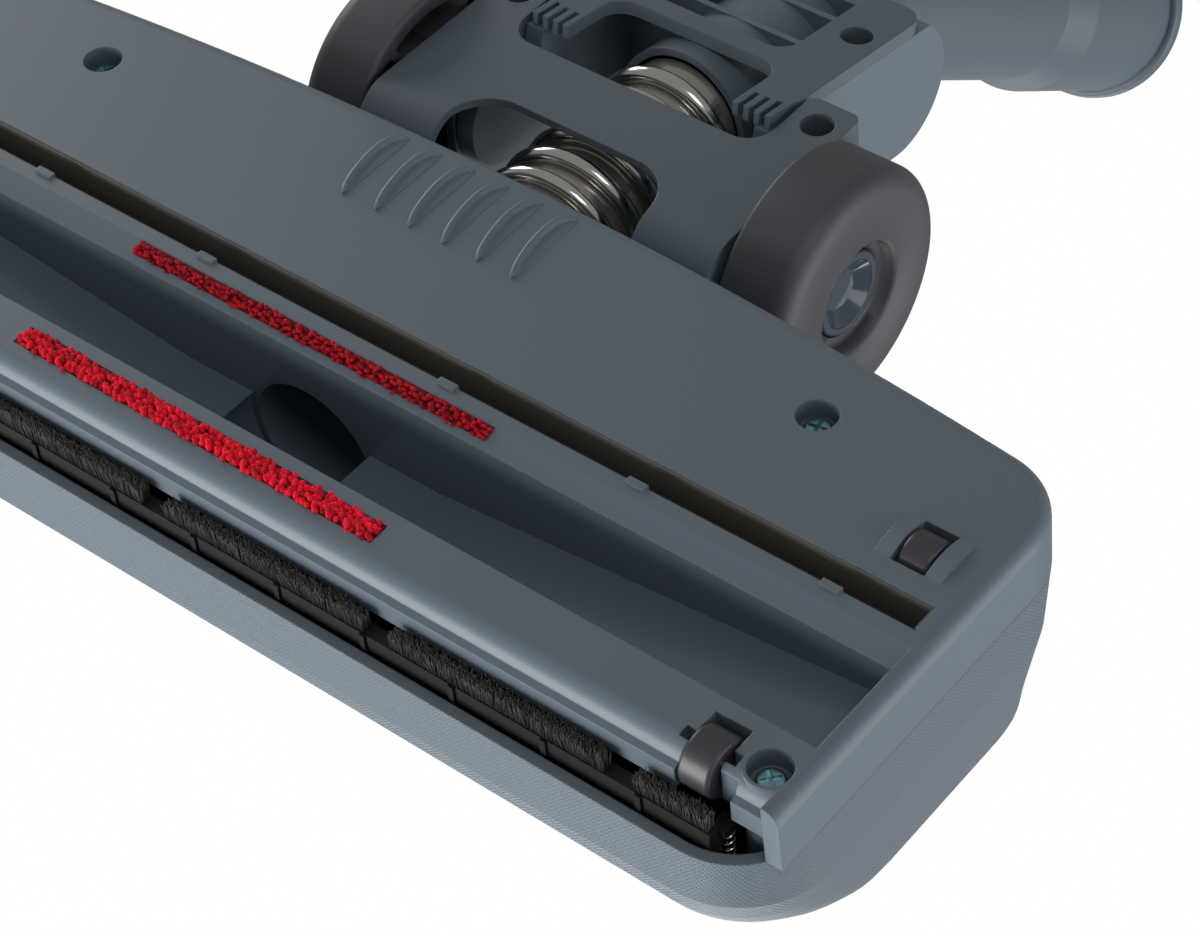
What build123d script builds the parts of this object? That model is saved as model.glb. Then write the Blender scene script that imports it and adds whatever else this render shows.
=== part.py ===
from build123d import *
import os
from math import cos, radians, sin

# Sizes are in millimetres. Lengths along Y are measured back from the suction channel's rear
# edge, heights are measured up from the flat of the sole.

# Shared
sole_stand = 1.5  # the flat of the sole above the floor
wall = 2.2  # moulded wall
slip = 0.05  # radial play of a pin in its hole
gap = 0.5  # play between neighbours that move past each other
sides = {"left": 1, "right": -1}  # seen by the person who pushes the head

# Head shell in plan
head_width = 273.0
front_reach = 43.9  # front wall ahead of the channel's rear edge
rear_reach = 58.2  # rear edge behind it, at mid-width
rear_arc_radius = 1000.0
corner_radius = 16.0
corner_growth = 5.0  # corners grow by this much from the parting up to the end belt
parting_height = 13.0  # sole plate meets top housing
wing_height = 45.0
front_belt = 22.0  # level where the front wall starts to roll back
end_belt = 33.0  # level where ends and rear start to roll in
end_tuck = 2.0  # ends and front draw in by this much from the front belt down to the parting
front_tuck = 1.6
rear_lean = 7.6  # rear wall leans in by this much up to the end belt
end_roll = 10.0  # above their belts the walls roll over in quarter ellipses of these depths
front_roll = 47.0
rear_roll = 5.0
roll_steps = 9

# Raised console on top, over the outlet and under the pedal
console_width = 84.0
console_front = -20.0
console_setback = 2.2  # console's rear wall ahead of the rear edge
console_height = 51.0
console_round = 4.0

# Sole
sole_floor = 2.4
sole_lean = 0.5  # the skirt leans out by this much up to the parting
sole_edge_round = 3.0
end_wall = 3.4
skirt_front = -36.0
bar_height = 8.0
channel_width = 21.2
front_bar_width = 14.3
nose_depth = 4.8  # round nose of the front bar, from its face to the flat
nose_height = 3.6
nose_step = (1.4, 3.1)  # its upper corner, back from the face and up from the flat
nose_bulge = 0.7
rear_bar_width = 7.8
rear_slot_width = 6.0
rear_slot_lip = 1.8
bevel_drop = 1.8  # rear bar slopes up to the channel by this much
bevel_width = 4.6
slot_inset = 7.5  # slot ends inside the head's ends
liner = 0.5
liner_sink = 0.3
tab_places = (29.3, 71.8, 112.4)
tab_size = (4.0, 1.0, 1.2)

# Grip ridges on the rear plate
ridge_count = 6
ridge_pitch = 8.25
ridge_start = 35.5
ridge_length = 18.5
ridge_bow = 3.2
ridge_width = 2.8
ridge_height = 1.0

# Screws
screw_rear_inset = 49.5  # in from the head's ends
screw_rear_place = 38.5
screw_front_inset = 9.5
screw_front_place = -28.5
screw_shank = 1.7
screw_head = 3.3
screw_head_height = 2.2
screw_length = 12.0
well_radius = 3.9
well_depth = 4.5
boss_radius = 6.0
post_radius = 4.5
cross_width = 0.9
cross_depth = 1.0

# Thread lifters
lifter_half_length = 43.2
lifter_thickness = 1.2
lifter_sink = 0.5
front_lifter_width = 4.6
front_lifter_place = -26.5
rear_lifter_width = 2.9
rear_lifter_edge = 0.35  # left free along the flat of the rear bar

# Rollers
front_roller_inset = 19.7  # in from the head's ends
front_roller_place = -30.3
front_roller_radius = 5.5
front_roller_width = 6.4
front_pin_radius = 1.5
front_pin_length = 11.2
rear_roller_inset = 16.5
rear_roller_place = 23.5
rear_roller_radius = 5.0
rear_roller_width = 6.0
rear_pin_radius = 1.2
rear_pin_length = 12.0
skid_width = 3.2
skid_length = 10.4
skid_drop = 1.1
pin_cover = 1.6

# Suction duct
roof_end_height = 9.5
roof_mid_height = 20.0
chamber_half_width = 31.0
duct_inset = 7.0  # duct ends inside the head's ends
duct_wall = 1.8
outlet_height = 25.5
hood_front = -17.0  # round hood over the middle of the channel starts here
outlet_radius = 15.5
outlet_stub = 1.4  # the outlet stands out behind the console by this much
spigot_radius = 13.1
spigot_length = 5.5
outlet_bore = 11.8
yoke_pivot_inset = 6.0  # yoke's pivot ahead of the console's rear wall
yoke_trunnion_radius = 3.0
trunnion_shoulder_radius = 3.6
bracket_foot = (4.0, 9.0)  # feet of the pedal's brackets on the outlet, above its axis

# Brush carriage
brush_travel = 7.0
strip_tip = 5.8  # strips end this far above the sole when drawn in
front_strip_place = -37.8
front_strip_width = 2.8
carrier_base = 9.5
carrier_top = 20.0
tuft_width = 2.3
tuft_pitch = 52.0
tuft_gap = 6.0
tuft_inset = 14.0  # last tuft ends inside the head's ends
rib_pitch = 19.7
rib_count = 12
rib_size = (1.2, 1.0)
rear_strip_width = 4.2
wiper_height = 1.7
wiper_lip = 1.2
rear_carrier_mid = 9.6  # carrier passes under the outlet at this height
rear_carrier_top = 16.0
rear_carrier_step = 24.0
link_inset = 18.8
link_width = 3.5
link_base = 20.5
link_top = 24.0
lug_drop = 4.0  # depth of the plain top of the front carrier

# Springs that draw the carriage up, their end turns threaded on a stud of the carriage and one of the housing
spring_inset = 14.15
spring_depth = -34.7
spring_radius = 1.5
spring_wire = 0.3
spring_turns = 7
spring_low = 12.0
spring_high = 26.0
stud_radius = 0.85
stud_length = 2.0
lug_height = 1.6
recess_play = 0.35

# Pedal
pedal_pivot = 38.0
pedal_pivot_drop = 6.5  # pivot below the console's top
pedal_pin_radius = 1.5
pedal_half_width = 33.0
pedal_front = 17.5
pedal_rear = 54.0
pedal_plate = 3.0
pedal_stand = 2.0  # pedal's edge above the console's top
pedal_crown = 1.0
pedal_corner = 4.0
arm_place = 28.0
arm_width = 4.0
arm_height = 4.4
post_width = 4.0
crank_pin_radius = 1.5
crank_play = 0.5
pedal_bracket_width = 3.5

# Yoke
yoke_half_width = 43.0
yoke_clearance = 3.3  # yoke's front behind the head's rear edge
yoke_floor_height = 6.0
yoke_floor = 1.8
yoke_bend = 10.0
yoke_split = 29.5
yoke_top = 47.0
roof_run = 13.5  # places along the yoke, back from its front
bridge_run = (17.5, 33.5)
yoke_screw_run = 45.0
yoke_length = 51.5
front_window_half = 25.0
window_round = 10.0
notch_round = 6.0
arm_inner = 31.0
arm_top = 36.0
tongue_place = 30.0
tongue_width = 6.0
tongue_radius = 6.0
tongue_swing = 2.5
yoke_screw_place = 37.0
yoke_boss_radius = 4.6
yoke_well_height = 18.0

# Wheels
wheel_run = 26.0  # axis back from the yoke's front
wheel_radius = 26.0
wheel_inner = 44.5
wheel_width = 16.0
wheel_round = 4.5
wheel_rim = 3.5
wheel_web = 4.5
wheel_hub = 8.0
wheel_ribs = 6
rib_width = 2.0
axle_radius = 4.5
hub_recess_radius = 9.3
hub_recess_depth = 7.6
hub_recess_round = 0.8
axle_flange = (2.8, 2.0)  # thickness, and reach beyond the axle
cap_radius = 8.9
cap_depth = 5.0
cap_bore = 7.2

# Hose
hose_bore = 13.2
hose_skin = 1.0
coil_wire = 1.3
coil_pitch = 8.0
coil_lead = 1.0  # first turn behind the yoke's front
coil_turns = 5.25
wire_faces = 8  # the wires are eight-sided
hose_lap = 4.0

# Neck, in its own frame: along the neck from the pivot, and square to that
neck_run_back = 26.5  # pivot back from the yoke's front
neck_pivot_height = 20.0
neck_tilt = 9.0
neck_half_width = 30.5
neck_floor = -17.6
neck_split = -14.6
cheek_width = 4.2
cheek_top = 13.0
cheek_end = 55.6
cheek_end_radius = 15.0
cheek_front = 10.5
neck_hinge_radius = 11.0
neck_trunnion_radius = 4.95
duct_axis = 1.5
neck_bore = 14.4
neck_duct_wall = 1.6
neck_duct_front = 22.5
neck_duct_rear = 68.0
bulkhead = (60.0, 63.0)
deck_front = 24.0
neck_window_half = 20.5
neck_window_end = 27.0
neck_bar_end = 32.0
neck_arm_inner = 17.5
neck_arm_end = 62.0
knuckle_fins = 4
fin_length = 6.0
fin_width = 1.3
knuckle_width = 9.0
fin_inset = 1.0
cover_corner = 5.0
neck_screw = (24.5, 46.4)
neck_seat = -8.0  # screw heads sit this deep in wells of the cover
neck_well_floor = 2.0
neck_well_wall = 1.2
neck_boss_radius = 3.8
web_place = (40.0, 52.0)
web_width = 1.6

# Swivel ring and tube
ring_radius = 20.0
ring_front = 63.1
ring_rear = 73.0
ring_lip = 2.0
flange_radius = 17.0
flange_width = 2.4
tube_neck_radius = 15.2
tube_radius = 17.5
tube_bore = 12.6
elbow_start = 80.0
elbow_radius = 30.0
tube_tilt = 34.0
tube_straight = 107.0
socket_bore = 17.6
socket_length = 42.0
socket_wall_radius = 20.2
rim_radius = 22.0
rim_width = 4.0
flare_length = 10.0
swivel_play = 0.3

# Derived places. The wheels touch the floor, and the part's middle is the frame's origin.
half_width = head_width / 2
console_rear = rear_reach - console_setback
outlet_end = console_rear + outlet_stub
yoke_pivot = console_rear - yoke_pivot_inset
yoke_front = rear_reach + yoke_clearance
roof_end = yoke_front + roof_run
bridge_front = yoke_front + bridge_run[0]
bridge_rear = yoke_front + bridge_run[1]
arm_end = yoke_front + yoke_length
yoke_screw = (yoke_screw_place, yoke_front + yoke_screw_run)
wheel_axis = yoke_front + wheel_run
wheel_height = wheel_radius - sole_stand
neck_pivot = yoke_front + neck_run_back
coil_start = yoke_front + coil_lead
bend = radians(tube_tilt - neck_tilt)
neck_run = (cos(radians(neck_tilt)), sin(radians(neck_tilt)))
tube_run = (cos(radians(tube_tilt)), sin(radians(tube_tilt)))
elbow_run = elbow_start + elbow_radius * sin(bend)
elbow_rise = duct_axis + elbow_radius * (1 - cos(bend))
elbow_end = (
    neck_pivot + elbow_run * neck_run[0] - elbow_rise * neck_run[1],
    neck_pivot_height + elbow_run * neck_run[1] + elbow_rise * neck_run[0],
)
rim_centre = (
    elbow_end[0] + tube_straight * tube_run[0],
    elbow_end[1] + tube_straight * tube_run[1],
)
reach_back = rim_centre[0] + rim_radius * tube_run[1]
channel_rear = (front_reach - reach_back) / 2
outer_half = half_width - end_tuck - sole_lean
inner_half = outer_half - end_wall
slot_half_length = half_width - slot_inset
duct_half_length = half_width - duct_inset
tuft_half_length = half_width - tuft_inset
link_place = half_width - link_inset
spring_place = half_width - spring_inset
screw_rear = (half_width - screw_rear_inset, screw_rear_place)
screw_front = (half_width - screw_front_inset, screw_front_place)
front_roller = (half_width - front_roller_inset, front_roller_place)
rear_roller = (half_width - rear_roller_inset, rear_roller_place)
pedal_pivot_height = console_height - pedal_pivot_drop
pedal_top = console_height + pedal_stand
channel_front = -channel_width
front_bar_face = channel_front - front_bar_width
rear_slot_front = rear_bar_width
rear_slot_rear = rear_bar_width + rear_slot_width
rear_strip_place = (rear_slot_front + rear_slot_rear) / 2
hose_skin_radius = hose_bore + hose_skin
coil_radius = hose_skin_radius + coil_wire + slip
neck_duct_radius = neck_bore + neck_duct_wall
os.makedirs("parts", exist_ok=True)


def back(y):
    # Y of a point this far behind the channel's rear edge
    return channel_rear + y


def high(h):
    # Z of a point this high above the sole
    return sole_stand + h


def block(x, y, h, mode=Mode.ADD):
    # straight-sided block between two places along each axis
    low = Vector(x[0], back(y[0]), high(h[0]))
    top = Vector(x[1], back(y[1]), high(h[1]))
    size = top - low
    with Locations((low + top) * 0.5):
        Box(abs(size.X), abs(size.Y), abs(size.Z), mode=mode)


def pair(x, y, h, mode=Mode.ADD):
    # the same block at both ends of the head
    for side in sides.values():
        block((side * x[0], side * x[1]), y, h, mode)


def rod(x, y, h, radius, mode=Mode.ADD):
    # round bar along X between two places
    with Locations(((x[0] + x[1]) / 2, back(y), high(h))):
        Cylinder(radius, abs(x[1] - x[0]), rotation=(0, 90, 0), mode=mode)


def post(x, y, h, radius, mode=Mode.ADD):
    # upright round post between two heights
    with Locations((x, back(y), high((h[0] + h[1]) / 2))):
        Cylinder(radius, h[1] - h[0], mode=mode)


def head_outline(ends, front, rear, corner, square_front=False):
    # plan of the head: straight front and ends, gently bowed rear, rounded corners
    sag = ends**2 / (2 * rear_arc_radius)
    with BuildLine() as path:
        Polyline(
            (ends, back(rear - sag)),
            (ends, back(front)),
            (-ends, back(front)),
            (-ends, back(rear - sag)),
        )
        ThreePointArc((-ends, back(rear - sag)), (0, back(rear)), (ends, back(rear - sag)))
    make_face(path.edges())
    rounded = vertices().group_by(Axis.Y)[-1] if square_front else vertices()
    fillet(rounded, corner)


def roll(height, belt, depth):
    # how far a wall has rolled in at this height
    rise = max(0, height - belt) / (wing_height - belt)
    return depth * (1 - (1 - rise**2) ** 0.5)


def shell_form(inset, mode):
    # lofted body of the top housing; inset by the wall it is the hollow
    steps = [sin(radians(90 * step / roll_steps)) for step in range(roll_steps)] + [1]
    heights = [front_belt + (wing_height - front_belt) * step for step in steps]
    levels = []
    for height in [parting_height] + heights:
        tuck = 1 if height == parting_height else 0
        lean = min(1, (height - parting_height) / (end_belt - parting_height))
        end_in = end_tuck * tuck + roll(height, end_belt, end_roll)
        front_in = front_tuck * tuck + roll(height, front_belt, front_roll)
        rear_in = rear_lean * lean + roll(height, end_belt, rear_roll)
        corner = corner_radius + corner_growth * lean - roll(height, end_belt, end_roll)
        sunk = height if tuck else height - inset
        with BuildSketch(Plane.XY.offset(high(sunk))) as level:
            head_outline(
                half_width - end_in - inset,
                front_in + inset - front_reach,
                rear_reach - rear_in - inset,
                corner - inset,
            )
        levels.append(level.sketch)
    loft(levels, ruled=True, mode=mode)


def roof_height(y):
    # height of the rolled front above this place
    share = 1 - (y + front_reach) / front_roll
    return front_belt + (wing_height - front_belt) * (1 - share**2) ** 0.5


def console_form(inset, mode):
    with BuildSketch(Plane.XY.offset(high(parting_height + wall))) as plan:
        with Locations((0, back((console_front + console_rear) / 2))):
            RectangleRounded(
                console_width - 2 * inset,
                console_rear - console_front - 2 * inset,
                console_round + wall - inset,
            )
    extrude(plan.sketch, amount=console_height - parting_height - wall - inset, mode=mode)


def screw(place, along):
    # pan-head screw with a cross recess, its seat at the plane's origin, shank along the plane's normal
    with BuildSketch(place) as shank:
        Circle(screw_shank)
    extrude(shank.sketch, amount=along)
    with BuildSketch(place) as cap:
        Circle(screw_head)
    extrude(cap.sketch, amount=-screw_head_height)
    with BuildSketch(place.offset(-screw_head_height)) as cross:
        Rectangle(screw_head * 1.3, cross_width)
        Rectangle(cross_width, screw_head * 1.3)
    extrude(cross.sketch, amount=cross_depth, mode=Mode.SUBTRACT)


def save(piece, name):
    piece.part.label = name
    export_step(piece.part, f"parts/{name}.step")


# Sole plate: a tray with leaning skirts, two bars, the slot walls, skids and wells
with BuildPart() as sole_plate:
    with BuildSketch(Plane.XY.offset(high(0))):
        rear = rear_reach - sole_lean / 2
        head_outline(outer_half, skirt_front, rear, corner_radius - sole_lean, True)
    with BuildSketch(Plane.XY.offset(high(parting_height))):
        head_outline(outer_half + sole_lean, skirt_front, rear_reach, corner_radius, True)
    loft(ruled=True)
    sole_face = faces().sort_by(Axis.Z)[0]
    fillet(sole_face.edges().sort_by(Axis.Y)[1:], sole_edge_round)
    with BuildSketch(Plane.XY.offset(high(sole_floor))):
        head_outline(inner_half, skirt_front * 2, rear - wall, corner_radius - sole_lean - wall, True)
    with BuildSketch(Plane.XY.offset(high(parting_height))):
        head_outline(inner_half + sole_lean, skirt_front * 2, rear_reach - wall, corner_radius - wall, True)
    loft(ruled=True, mode=Mode.SUBTRACT)
    open_sole = (skirt_front * 2, rear_bar_width)
    block((-inner_half, inner_half), open_sole, (-gap, sole_floor + gap), Mode.SUBTRACT)
    with BuildSketch(Plane.YZ):
        with BuildLine():
            nose = (back(front_bar_face + nose_depth), high(0))
            nose_corner = (back(front_bar_face + nose_step[0]), high(nose_step[1]))
            Polyline(
                nose,
                (back(channel_front), high(0)),
                (back(channel_front), high(bar_height)),
                (back(front_bar_face), high(bar_height)),
                (back(front_bar_face), high(nose_height)),
                nose_corner,
            )
            SagittaArc(nose_corner, nose, -nose_bulge)
        make_face()
    extrude(amount=inner_half + wall / 2, both=True)
    with BuildSketch(Plane.YZ):
        with BuildLine():
            Polyline(
                (back(0), high(bevel_drop)),
                (back(bevel_width), high(0)),
                (back(rear_slot_front), high(0)),
                (back(rear_slot_front), high(bar_height)),
                (back(0), high(bar_height)),
                close=True,
            )
        make_face()
    extrude(amount=inner_half + wall / 2, both=True)
    block(
        (-slot_half_length - rear_slot_lip, slot_half_length + rear_slot_lip),
        (rear_slot_front, rear_slot_rear + rear_slot_lip),
        (0, bar_height),
    )
    block(
        (-slot_half_length, slot_half_length),
        (rear_slot_front, rear_slot_rear),
        (-gap, bar_height + gap),
        Mode.SUBTRACT,
    )
    for place in tab_places:
        pair(
            (place - tab_size[0] / 2, place + tab_size[0] / 2),
            (rear_slot_front - tab_size[1], rear_slot_front + liner),
            (-gap, tab_size[2]),
        )
    # crescent grip ridges
    for ridge in range(ridge_count):
        x = (ridge - (ridge_count - 1) / 2) * ridge_pitch
        front_tip = (x, back(ridge_start))
        rear_tip = (x, back(ridge_start + ridge_length))
        with BuildSketch(Plane.XY.offset(high(0))):
            with BuildLine():
                SagittaArc(front_tip, rear_tip, ridge_bow)
                SagittaArc(rear_tip, front_tip, ridge_width - ridge_bow)
            make_face()
        extrude(amount=-ridge_height)
    # recess for the spring at each end of the front bar
    pair(
        (spring_place - spring_radius - recess_play, spring_place + spring_radius + recess_play),
        (front_bar_face - gap, spring_depth + spring_radius + recess_play),
        (-gap, bar_height + gap),
        Mode.SUBTRACT,
    )
    # rollers' pockets and the walls that carry their pins
    for side in sides.values():
        x, y = front_roller
        pocket = front_roller_width / 2 + gap
        reach = front_roller_radius + gap
        across = (side * (x - pocket), side * (x + pocket))
        block(across, (y - reach, y + reach), (-gap, bar_height + gap), Mode.SUBTRACT)
        pin_ends = (side * x - front_pin_length / 2, side * x + front_pin_length / 2)
        pin_height = front_roller_radius - sole_stand
        rod(pin_ends, y, pin_height, front_pin_radius + slip, Mode.SUBTRACT)
        open_pin = front_pin_radius * 0.8
        block(pin_ends, (y - open_pin, y + open_pin), (-gap, pin_height), Mode.SUBTRACT)
        x, y = rear_roller
        pocket = rear_roller_width / 2 + gap
        pin_height = rear_roller_radius - sole_stand
        across = (side * (x - pocket), side * (x + pocket))
        along = (y - skid_length / 2, y + skid_length / 2)
        block(across, along, (-gap, sole_floor + gap), Mode.SUBTRACT)
        for inner in (x - pocket - skid_width, x + pocket):
            start = inner if side > 0 else -inner - skid_width
            skid_top = pin_height + rear_pin_radius + pin_cover
            with BuildSketch(Plane.YZ.offset(start)):
                with BuildLine():
                    heel = (back(along[0]), high(0))
                    toe = (back(along[1]), high(0))
                    Polyline(heel, (back(along[0]), high(skid_top)), (back(along[1]), high(skid_top)), toe)
                    ThreePointArc(toe, (back(y), high(-skid_drop)), heel)
                make_face()
            extrude(amount=skid_width)
        pin_ends = (side * x - rear_pin_length / 2, side * x + rear_pin_length / 2)
        rod(pin_ends, y, pin_height, rear_pin_radius + slip, Mode.SUBTRACT)
        # screw bosses and their wells
        for x, y in (screw_rear, screw_front):
            post(side * x, y, (0, parting_height), boss_radius if y > 0 else post_radius)
            post(side * x, y, (-gap, well_depth), well_radius, Mode.SUBTRACT)
            post(side * x, y, (0, parting_height + gap), screw_shank + slip, Mode.SUBTRACT)
    # notch for the outlet in the rear skirt
    with BuildSketch(Plane.XZ.offset(-back(rear_reach + gap))):
        with Locations((0, high(outlet_height))):
            Circle(outlet_radius + gap)
    extrude(amount=wall * 3, mode=Mode.SUBTRACT)
    # shallow seat for the front thread lifter
    block(
        (-lifter_half_length, lifter_half_length),
        (front_lifter_place - front_lifter_width / 2, front_lifter_place + front_lifter_width / 2),
        (-gap, lifter_sink),
        Mode.SUBTRACT,
    )
save(sole_plate, "sole_plate")

# Black liner of the rear slot, cut back over the tabs
with BuildPart() as slot_liner:
    liner_rise = (liner_sink, bar_height)
    liner_half = slot_half_length - liner
    block((-slot_half_length, slot_half_length), (rear_slot_front, rear_slot_rear), liner_rise)
    inside_liner = (rear_slot_front + liner, rear_slot_rear - liner)
    block((-liner_half, liner_half), inside_liner, (-gap, bar_height + gap), Mode.SUBTRACT)
    over_tabs = (rear_slot_front - gap, rear_slot_front + liner)
    block((-half_width, half_width), over_tabs, (-gap, tab_size[2] + liner_sink), Mode.SUBTRACT)
save(slot_liner, "slot_liner")

# Front thread lifter in its seat, rear one on the bevel of the rear bar
with BuildPart() as front_thread_lifter:
    with BuildSketch(Plane.XY.offset(high(lifter_sink))):
        with Locations((0, back(front_lifter_place))):
            RectangleRounded(2 * lifter_half_length, front_lifter_width, 1.0)
    extrude(amount=-lifter_thickness)
save(front_thread_lifter, "front_thread_lifter")

with BuildPart() as rear_thread_lifter:
    slope = Vector(0, bevel_width, -bevel_drop).normalized()
    edge = Vector(0, back(bevel_width), high(0))
    middle = edge - slope * (rear_lifter_edge + rear_lifter_width / 2)
    with BuildSketch(Plane(origin=middle, x_dir=(1, 0, 0), z_dir=slope.cross(Vector(1, 0, 0)))):
        RectangleRounded(2 * lifter_half_length, rear_lifter_width, 1.0)
    extrude(amount=lifter_thickness - lifter_sink)
save(rear_thread_lifter, "rear_thread_lifter")

# Suction duct: roof that rises to the middle chamber, round outlet, brackets and trunnions
with BuildPart() as suction_duct:
    span = (channel_front - duct_wall, duct_wall)
    for grow, mode in ((duct_wall, Mode.ADD), (0, Mode.SUBTRACT)):
        front = span[0] if grow else channel_front
        depth = span[1] - span[0] if grow else channel_width
        length = duct_half_length if grow else duct_half_length - duct_wall
        with BuildSketch(Plane.XZ.offset(-back(front))):
            with BuildLine():
                Polyline(
                    (-length, high(bar_height)),
                    (-length, high(roof_end_height + grow)),
                    (-chamber_half_width, high(roof_mid_height + grow)),
                    (chamber_half_width, high(roof_mid_height + grow)),
                    (length, high(roof_end_height + grow)),
                    (length, high(bar_height)),
                    close=True,
                )
            make_face()
        extrude(amount=-depth, mode=mode)
        hood = hood_front if grow else hood_front + duct_wall
        with BuildSketch(Plane.XZ.offset(-back(hood))):
            with Locations((0, high(outlet_height))):
                Circle(outlet_radius + grow)
        extrude(amount=hood - grow, mode=mode)
    with BuildSketch(Plane.XZ.offset(-back(0))):
        with Locations((0, high(outlet_height))):
            Circle(outlet_radius)
    extrude(amount=-outlet_end)
    with BuildSketch(Plane.XZ.offset(-back(outlet_end))):
        with Locations((0, high(outlet_height))):
            Circle(spigot_radius)
    extrude(amount=-spigot_length)
    for side in sides.values():
        x0 = outlet_radius - duct_wall
        start = min(side * x0, side * (tongue_place + tongue_width / 2 + gap))
        length = tongue_place + tongue_width / 2 + gap - x0
        rod((start, start + length), yoke_pivot, outlet_height, yoke_trunnion_radius)
        shoulder = tongue_place - tongue_width / 2 - gap - x0
        start = min(side * x0, side * (x0 + shoulder))
        rod((start, start + shoulder), yoke_pivot, outlet_height, trunnion_shoulder_radius)
        bracket = arm_place - arm_width / 2 - gap
        ear = (side * (bracket - pedal_bracket_width), side * bracket)
        reach = pedal_pin_radius + wall
        along = (pedal_pivot - reach, pedal_pivot + reach)
        foot = (outlet_height + bracket_foot[0], outlet_height + bracket_foot[1])
        block(ear, along, (foot[0], pedal_pivot_height + reach))
        block((side * (x0 - bracket_foot[1]), side * bracket), along, foot)
    rod((-half_width, half_width), pedal_pivot, pedal_pivot_height, pedal_pin_radius + slip, Mode.SUBTRACT)
    with BuildSketch(Plane.XZ.offset(-back(channel_front))):
        with Locations((0, high(outlet_height))):
            Circle(outlet_radius - duct_wall)
    extrude(amount=channel_front - outlet_end + duct_wall, mode=Mode.SUBTRACT)
    with BuildSketch(Plane.XZ.offset(-back(channel_front))):
        with Locations((0, high(outlet_height))):
            Circle(outlet_bore)
    extrude(amount=channel_front - outlet_end - spigot_length, mode=Mode.SUBTRACT)
save(suction_duct, "suction_duct")

# Top housing: lofted shell with the console, open below, at the outlet and for the pedal
with BuildPart() as top_housing:
    shell_form(0, Mode.ADD)
    console_form(0, Mode.ADD)
    fillet(faces().sort_by(Axis.Z)[-1].edges(), console_round)
    shell_form(wall, Mode.SUBTRACT)
    console_form(wall, Mode.SUBTRACT)
    for side in sides.values():
        grip = (parting_height, parting_height + screw_length)
        x, y = screw_rear
        post(side * x, y, (parting_height, wing_height - wall / 2), post_radius)
        x, y = screw_front
        post(side * x, y, grip, post_radius)
        block((side * x, side * (half_width - end_tuck - wall / 2)), (y - wall / 2, y + wall / 2), grip)
        for x, y in (screw_rear, screw_front):
            post(side * x, y, grip, screw_shank + slip, Mode.SUBTRACT)
        half_slot = tongue_width / 2 + gap
        slot = (side * (tongue_place - half_slot), side * (tongue_place + half_slot))
        swing = tongue_radius + tongue_swing
        swing = (outlet_height - swing, outlet_height + swing)
        block(slot, (console_rear - wall * 2, rear_reach + gap), swing, Mode.SUBTRACT)
        # bracket under the roof with the stud for the spring's upper end
        lug = (side * (spring_place - spring_radius), side * (spring_place + spring_radius))
        span = (spring_depth - spring_radius, spring_depth + spring_radius)
        block(lug, span, (spring_high, roof_height(span[0]) - wall / 2))
        stud = (spring_high - stud_length, spring_high)
        post(side * spring_place, spring_depth, stud, stud_radius)
    with BuildSketch(Plane.XZ.offset(-back(rear_reach + gap))):
        with Locations((0, high(outlet_height))):
            Circle(outlet_radius + gap)
    extrude(amount=wall * 3, mode=Mode.SUBTRACT)
    pedal_slot = pedal_half_width + gap
    block(
        (-pedal_slot, pedal_slot),
        (pedal_front - 5 * gap, pedal_rear + gap),
        (console_height - wall * 2, console_height + gap),
        Mode.SUBTRACT,
    )
save(top_housing, "top_housing")

# Four screws that hold the sole plate to the housing
with BuildPart() as sole_screws:
    for side in sides.values():
        for x, y in (screw_rear, screw_front):
            screw(Plane(origin=(side * x, back(y), high(well_depth))), screw_length)
save(sole_screws, "sole_screws")

# Roller pins and rollers
with BuildPart() as front_roller_pins:
    for side in sides.values():
        x, y = front_roller
        half = front_pin_length / 2
        rod((side * x - half, side * x + half), y, front_roller_radius - sole_stand, front_pin_radius)
save(front_roller_pins, "front_roller_pins")

with BuildPart() as rear_roller_pins:
    for side in sides.values():
        x, y = rear_roller
        half = rear_pin_length / 2
        rod((side * x - half, side * x + half), y, rear_roller_radius - sole_stand, rear_pin_radius)
save(rear_roller_pins, "rear_roller_pins")


def make_roller(name, x, y, radius, width, pin):
    with BuildPart() as roller:
        rod((x - width / 2, x + width / 2), y, radius - sole_stand, radius)
        fillet(edges().filter_by(GeomType.CIRCLE), radius * 0.15)
        rod((x - width, x + width), y, radius - sole_stand, pin + slip, Mode.SUBTRACT)
    save(roller, name)


for hand, side in sides.items():
    x, y = front_roller
    name = f"front_{hand}_roller"
    make_roller(name, side * x, y, front_roller_radius, front_roller_width, front_pin_radius)
    x, y = rear_roller
    name = f"rear_{hand}_roller"
    make_roller(name, side * x, y, rear_roller_radius, rear_roller_width, rear_pin_radius)

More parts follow.
